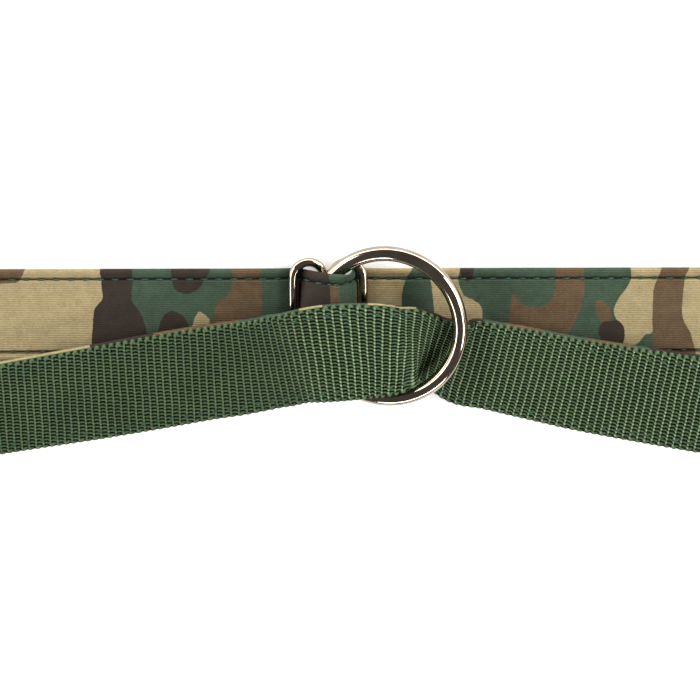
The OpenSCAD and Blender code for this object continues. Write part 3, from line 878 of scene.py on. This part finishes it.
def wire_rows(path, radius, closed, sides):
    """Points (rows x sides x 3) of a round wire along a path; radius is one per path point."""
    path = np.asarray(path, float)
    if closed:
        tangent = np.roll(path, -1, 0) - np.roll(path, 1, 0)
    else:
        tangent = np.gradient(path, axis=0)
    tangent /= np.linalg.norm(tangent, axis=1, keepdims=True)
    side = np.cross(tangent[0], (0.31, 0.17, 0.93))
    side /= np.linalg.norm(side)
    frames = []
    for t in tangent:
        side = side - t * (side @ t)
        side /= np.linalg.norm(side)
        frames.append((side.copy(), np.cross(t, side)))
    if closed:
        last, first = frames[-1], frames[0]
        side = last[0] - tangent[0] * (last[0] @ tangent[0])
        twist = math.atan2(side @ first[1], side @ first[0])
        for k, (a, b) in enumerate(frames):
            turn = -twist * k / len(path)
            ca, sa = math.cos(turn), math.sin(turn)
            frames[k] = (a * ca + b * sa, b * ca - a * sa)
    angle = np.linspace(0, 2 * math.pi, sides, endpoint=False)
    radius = np.broadcast_to(radius, len(path))
    rows = [
        p + r * (np.outer(np.cos(angle), a) + np.outer(np.sin(angle), b))
        for p, r, (a, b) in zip(path, radius, frames)
    ]
    return np.array(rows)


def wire_piece(name, path, radius, body, node, closed=True):
    rows = wire_rows(path, radius, closed, WIRE_SIDES)
    faces = tube_faces(len(rows), WIRE_SIDES, close_ends=not closed)
    if closed:
        base = (len(rows) - 1) * WIRE_SIDES
        for k in range(WIRE_SIDES):
            after = (k + 1) % WIRE_SIDES
            faces.append([base + k, base + after, after, k])
    piece = new_object(name, raw_mesh(name, rows.reshape(-1, 3), faces, {}), METAL)
    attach(piece, body)
    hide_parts(node)


def weld_bulge(distance, size, width):
    """Extra radius of a resistance weld's collar at this distance along the wire."""
    return size * np.exp(-((distance / width) ** 4))


def make_o_ring():
    theta = np.linspace(0, 2 * math.pi, 240, endpoint=False)
    c, s = RING_RADIUS * np.cos(theta), RING_RADIUS * np.sin(theta)
    path = np.stack([
        c * math.cos(RING_LEAN), s + RING_SHIFT_Y, RING_Z + c * math.sin(RING_LEAN)
    ], -1)
    along = RING_RADIUS * (theta - RING_WELD_AT)
    radius = RING_WIRE / 2 + weld_bulge(along, 0.05, 0.5)
    wire_piece("o_ring_wire", path, radius, "o_ring", "o_ring")


def make_slider():
    """The slide adjuster: a closed wire with two humps on each long side, and a welded bar."""
    bar_z = SLIDER_WIRE / 2 + 0.1
    rise = 3.8 - bar_z
    run, lean = math.hypot(SLIDER_PITCH, rise), math.atan2(rise, SLIDER_PITCH)
    hump_r, hump_reach, dip_reach = 4.25, 14.3, 10.1
    hump_y = hump_reach - hump_r
    c, d = run - hump_r, dip_reach - hump_y
    dip_r = (c * c + d * d - hump_r * hump_r) / (2 * (hump_r - d))
    meet = math.atan2(dip_r + d, c)
    quarter = [(run, y) for y in np.linspace(0, hump_y, 12, endpoint=False)]
    quarter += [
        (c + hump_r * math.cos(a), hump_y + hump_r * math.sin(a))
        for a in np.linspace(0, math.pi - meet, 22, endpoint=False)
    ]
    quarter += [
        (dip_r * math.cos(a), dip_reach + dip_r + dip_r * math.sin(a))
        for a in np.linspace(-meet, -math.pi / 2, 10)
    ]
    top_half = quarter + [(-x, y) for x, y in quarter[-2::-1]]
    outline = top_half + [(x, -y) for x, y in top_half[-2:0:-1]]
    path = np.array([
        (x * math.cos(lean), y, abs(x) * math.sin(lean)) for x, y in outline
    ])
    for _ in range(2):
        path = (np.roll(path, 1, 0) + 2 * path + np.roll(path, -1, 0)) / 4
    place = np.array([BAR_X, RING_SHIFT_Y + FAR_MIDDLE_Y, bar_z])
    wire_piece("slider_wire_frame", path + place, SLIDER_WIRE / 2, "slider", "slider_frame")
    end = dip_reach - 0.4
    y = np.linspace(-end, end, 40)
    to_weld = end - np.abs(y)
    radius = SLIDER_WIRE / 2 - 0.02 + 0.22 * np.exp(-((to_weld / 0.8) ** 2))
    bar_path = np.stack([0 * y, y, 0 * y], -1) + place
    wire_piece("slider_wire_bar", bar_path, radius, "slider", "slider_centre_bar", closed=False)


END_RING_STEP = 0.8  # greatest length between two points of an end ring's wire
END_WIRE, END_GAP, END_CORNER, END_INSIDE, END_PLAY = 3.0, 0.3, 0.6, 9.0, 0.6
FOLD_T, FOLD_LEN = 1.2, 24.0
FOLD_TUCK = 0.2  # how far a fold reaches into the lined strap
FOLD_LIP = [(-1.0, 2.35), (-2.4, 1.95), (-4.7, 0.6)]  # over the wire, clear of the swinging ring
FOLD_H = END_WIRE / 2 + END_GAP + FOLD_T
NEAR_LIFT = (1 - 2 * WEB_SHARE) * STRAP_T


def end_placer(side, angle, centre_y, lift):
    """A function from a strap end's own frame to mm. In that frame X points outward,
    Y across the strap, and the fold's end is at the origin."""
    def place(p):
        x, y = p[..., 0] + FOLD_LEN, p[..., 1]
        return np.stack([
            side * (LINED_HALF + x * math.cos(angle) - y * math.sin(angle)),
            centre_y + x * math.sin(angle) + y * math.cos(angle),
            p[..., 2] + lift,
        ], -1)

    return place


def end_places():
    """Each strap end: strap, side's name and sign, strap width, lift and placing function."""
    near = stations(NEAR_KEYS, 4)
    turn, far_y = turn_of(near), RING_SHIFT_Y + FAR_MIDDLE_Y
    for tag, side, row in (("left", -1, 0), ("right", 1, -1)):
        near_y = (near[row, 1] + near[row, 3]) / 2 + RING_SHIFT_Y
        yield "far", tag, side, FAR_WIDTH, 0.0, end_placer(side, 0.0, far_y, 0.0)
        near_placer = end_placer(side, side * turn[row], near_y, NEAR_LIFT)
        yield "near", tag, side, NEAR_WIDTH, NEAR_LIFT, near_placer


def end_ring_path(width, lift):
    """Centre line of a rectangular end ring, its inner bar at the fold."""
    corner = END_CORNER + END_WIRE / 2
    length, span = END_INSIDE + END_WIRE, width + END_PLAY + END_WIRE
    drop = math.asin((FOLD_H + lift - END_WIRE / 2) / length)
    flat = []
    for cx, cy, start in (
        (length - corner, span / 2 - corner, 90), (length - corner, corner - span / 2, 0),
        (corner, corner - span / 2, -90), (corner, span / 2 - corner, -180),
    ):
        for a in np.radians(np.linspace(start, start - 90, 12)):
            flat.append((cx + corner * math.cos(a), cy + corner * math.sin(a)))
    dense = []
    for a, b in zip(flat, flat[1:] + flat[:1]):
        count = max(1, int(math.dist(a, b) / END_RING_STEP))
        for t in np.arange(count) / count:
            dense.append((a[0] + (b[0] - a[0]) * t, a[1] + (b[1] - a[1]) * t))
    return np.array([
        (x * math.cos(drop), y, FOLD_H - x * math.sin(drop)) for x, y in dense
    ])


# ---------------- folded ends and stitches


def fold_line():
    """Centre line of a folded end: out along the ground, round the wire and back over itself."""
    r = END_WIRE / 2 + END_GAP + FOLD_T / 2
    start, upper = FOLD_LEN + FOLD_TUCK, FOLD_T * 1.5
    arc = [(r * math.cos(a), FOLD_H + r * math.sin(a)) for a in np.radians(np.linspace(-90, 82, 30))]
    line = [(-x, FOLD_T / 2) for x in np.linspace(start, 0.4, 40)] + arc
    line += [(x, FOLD_H + z) for x, z in FOLD_LIP] + [(-6.8, upper + 0.35)]
    line += [(-x, upper) for x in np.linspace(8.8, start, 26)]
    line = np.array(line)
    for _ in range(3):
        line[1:-1] = (line[:-2] + 2 * line[1:-1] + line[2:]) / 4
    slope = np.gradient(line, axis=0)
    slope /= np.linalg.norm(slope, axis=1, keepdims=True)
    return line, np.stack([-slope[:, 1], slope[:, 0]], -1)


def fold_strap(width, place, side):
    """A folded end as a strap of its own, whose outer face is below."""
    line, up = fold_line()
    widths = np.linspace(-width / 2, width / 2, 5)
    level = 0 * line[:, 0]

    def spread(path):
        return np.stack(
            [place(np.stack([path[:, 0], level + v * side, path[:, 1]], -1)) for v in widths], 1
        )

    middle = spread(line)
    return Strap(middle, spread(line + up) - middle, np.full(middle.shape[:2], FOLD_T), widths)


class Threads:
    """Collects stitches into one mesh."""

    def __init__(self):
        self.points, self.faces, self.flat, self.count = [], [], [], 0

    def add(self, path, radius):
        """One stitch, a thread with pinched ends."""
        t = np.linspace(-1, 1, len(path))
        radius = radius * np.sqrt(np.maximum(1 - np.abs(t) ** 4, 0.05))
        rows = wire_rows(path, radius, False, THREAD_SIDES)
        faces = tube_faces(len(rows), THREAD_SIDES)
        self.faces += [[i + self.count for i in f] for f in faces]
        self.points.append(rows.reshape(-1, 3))
        along = np.repeat(np.linspace(0, 3, len(rows)), THREAD_SIDES)
        around = np.tile(np.arange(THREAD_SIDES) * 0.3, len(rows))
        self.flat.append(np.stack([along + 1.7 * self.count, around, 0 * along], -1))
        self.count += len(rows) * THREAD_SIDES

    def piece(self, name, node):
        data = {"flat": np.vstack(self.flat)}
        obj = new_object(name, raw_mesh(name, np.vstack(self.points), self.faces, data), THREAD)
        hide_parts(node)
        return obj


# a stitch's height over the face at its middle, its length, how far its ends dive, and its radius
LINING_STITCH = (-0.42, 2.3, 0.8, 0.26)
WEB_STITCH = (-0.16, 1.9, 0.75, 0.24)
SEAM_START, SEAM_BREAK = 3.0, 0.1  # from the strap's end, and from the cut between halves


def seam_threads(threads, surface, v, s_values, share, face, height, length, bow, radius):
    """A row of stitches along a strap at width position v."""
    t = np.linspace(-0.5, 0.5, 9)
    lift = face * (height + bow * (np.cos(math.pi * t) - 1))
    for s in s_values:
        jitter = rng.uniform(-0.12, 0.12)
        path = surface.place(s + t * length + jitter * 0.6, v + 0.12 * jitter + 0.1 * t, share, lift)
        threads.add(path, radius)


def make_seams():
    """Both seams of both straps, seen on the lining and on the webbing."""
    for strap, surface, width, lining_face in (
        ("far", FAR, FAR_WIDTH, 1), ("near", NEAR, NEAR_WIDTH, -1)
    ):
        lining_share, web_share = (1.0, 0.0) if lining_face > 0 else (0.0, 1.0)
        halves = (
            ("left", surface.start + SEAM_START, SPLIT_AT - SEAM_BREAK),
            ("right", SPLIT_AT + SEAM_BREAK, surface.end - SEAM_START),
        )
        for row, sign in (("upper", 1), ("lower", -1)):
            v = sign * (width / 2 - SEAM_INSET)
            for half, low, high in halves:
                first = math.ceil(low / STITCH_PITCH - 0.5) + 0.5
                s_values = np.arange(first, high / STITCH_PITCH, 1.0) * STITCH_PITCH
                s_values = [s for s in s_values if low <= s <= high]
                threads = Threads()
                seam_threads(threads, surface, v, s_values, lining_share, lining_face, *LINING_STITCH)
                seam_threads(threads, surface, v, s_values, web_share, -lining_face, *WEB_STITCH)
                piece = threads.piece(f"{strap}_seam_{row}_{half}_half", f"{strap}_seam_{row}")
                SOFT.append((piece, strap))


BOX_LENGTH, BOX_MARGIN, BOX_START = 12.0, 4.0, 2.0
BOX_STITCH_PITCH, BOX_STITCH_RADIUS = 2.8, 0.27


def box_threads(width, place):
    """A box with both diagonals, stitched on the upper and the lower side of a fold."""
    threads = Threads()
    near, far, half = BOX_START - FOLD_LEN, BOX_START - FOLD_LEN + BOX_LENGTH, width / 2 - BOX_MARGIN
    a, b, c, d = (near, -half), (far, -half), (far, half), (near, half)
    turn = np.linspace(-1, 1, 7)
    lift = 0.06 + 0.3 * (np.cos(math.pi * turn / 2) - 1)
    for start, end in ((a, b), (b, c), (c, d), (d, a), (a, c), (b, d)):
        count = max(2, round(math.dist(start, end) / BOX_STITCH_PITCH))
        for k in range(count):
            t = (k + 0.5 + 0.36 * turn) / count
            x, y = (p + (q - p) * t for p, q in zip(start, end))
            for z in (2 * FOLD_T + lift, -lift):
                threads.add(place(np.stack([x, y, z], -1)), BOX_STITCH_RADIUS)
    return threads


def make_ends():
    """The folded webbing, the box stitch and the ring at each strap end."""
    for strap, tag, side, width, lift, place in end_places():
        fold = fold_strap(width, place, side)
        s = np.arange(0, fold.end, RIB_STEP)
        seed = 60 + 5 * (strap == "near") + side
        points, data = woven_band(fold.place, s, width / 2 - WEB_INSET, seed, (0.0, 1.0), -1)
        name = f"{strap}_fold_{tag}_webbing"
        piece = tube_piece(name, points, data, grid_normals(points), WEBBING)
        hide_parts(f"{strap}_fold_{tag}")
        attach(piece, strap + "_strap")

        threads = box_threads(width, place)
        box = threads.piece(f"{strap}_box_stitches_{tag}", f"{strap}_box_stitch_{tag}")
        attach(box, strap + "_strap")

        path = place(end_ring_path(width, lift))
        along = np.arange(len(path)) * END_RING_STEP
        radius = END_WIRE / 2 + weld_bulge(along - 0.35 * along[-1], 0.04, 0.5)
        body = f"{strap}_end_ring_{tag}"
        wire_piece(body + "_wire", path, radius, body, body)


make_o_ring()
make_slider()
make_seams()
make_ends()

# ---------------- soft pieces: transforms baked into their meshes

# where a strap would stop following its own ends and follow the slide adjuster instead, in mm along
# x; the loop below reads these but does nothing with them
BLENDS = {
    ("far", "left"): (-90, -32), ("far", "right"): (70, 4),
    ("near", "left"): (-100, -32), ("near", "right"): (100, 32),
}
for piece, strap in SOFT:
    side = "left" if "left" in piece.name else "right"
    start_x, end_x = BLENDS[strap, side]
    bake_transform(piece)

# ---------------- floor


def make_floor():
    n = MaterialNodes("studio_paper")
    grain = n.noise(n.add("ShaderNodeTexCoord").outputs["Object"], 300, 3)
    paper = n.shade(
        Base_Color=n.mix(grain, (0.86, 0.86, 0.86, 1), (0.9, 0.9, 0.9, 1)),
        Roughness=0.9,
        Normal=n.bump(grain, 0.02 * MM, 0.2),
        Emission_Color=(1, 1, 1, 1),
        Emission_Strength=FLOOR_GLOW,
    )
    mesh = bpy.data.meshes.new("floor")
    corners = [(x * FLOOR_HALF, y * FLOOR_HALF, 0) for x, y in ((-1, -1), (1, -1), (1, 1), (-1, 1))]
    mesh.from_pydata(corners, [], [(0, 1, 2, 3)])
    floor = new_object("floor", mesh, paper)
    floor.location.z = -FLOOR_DROP


make_floor()
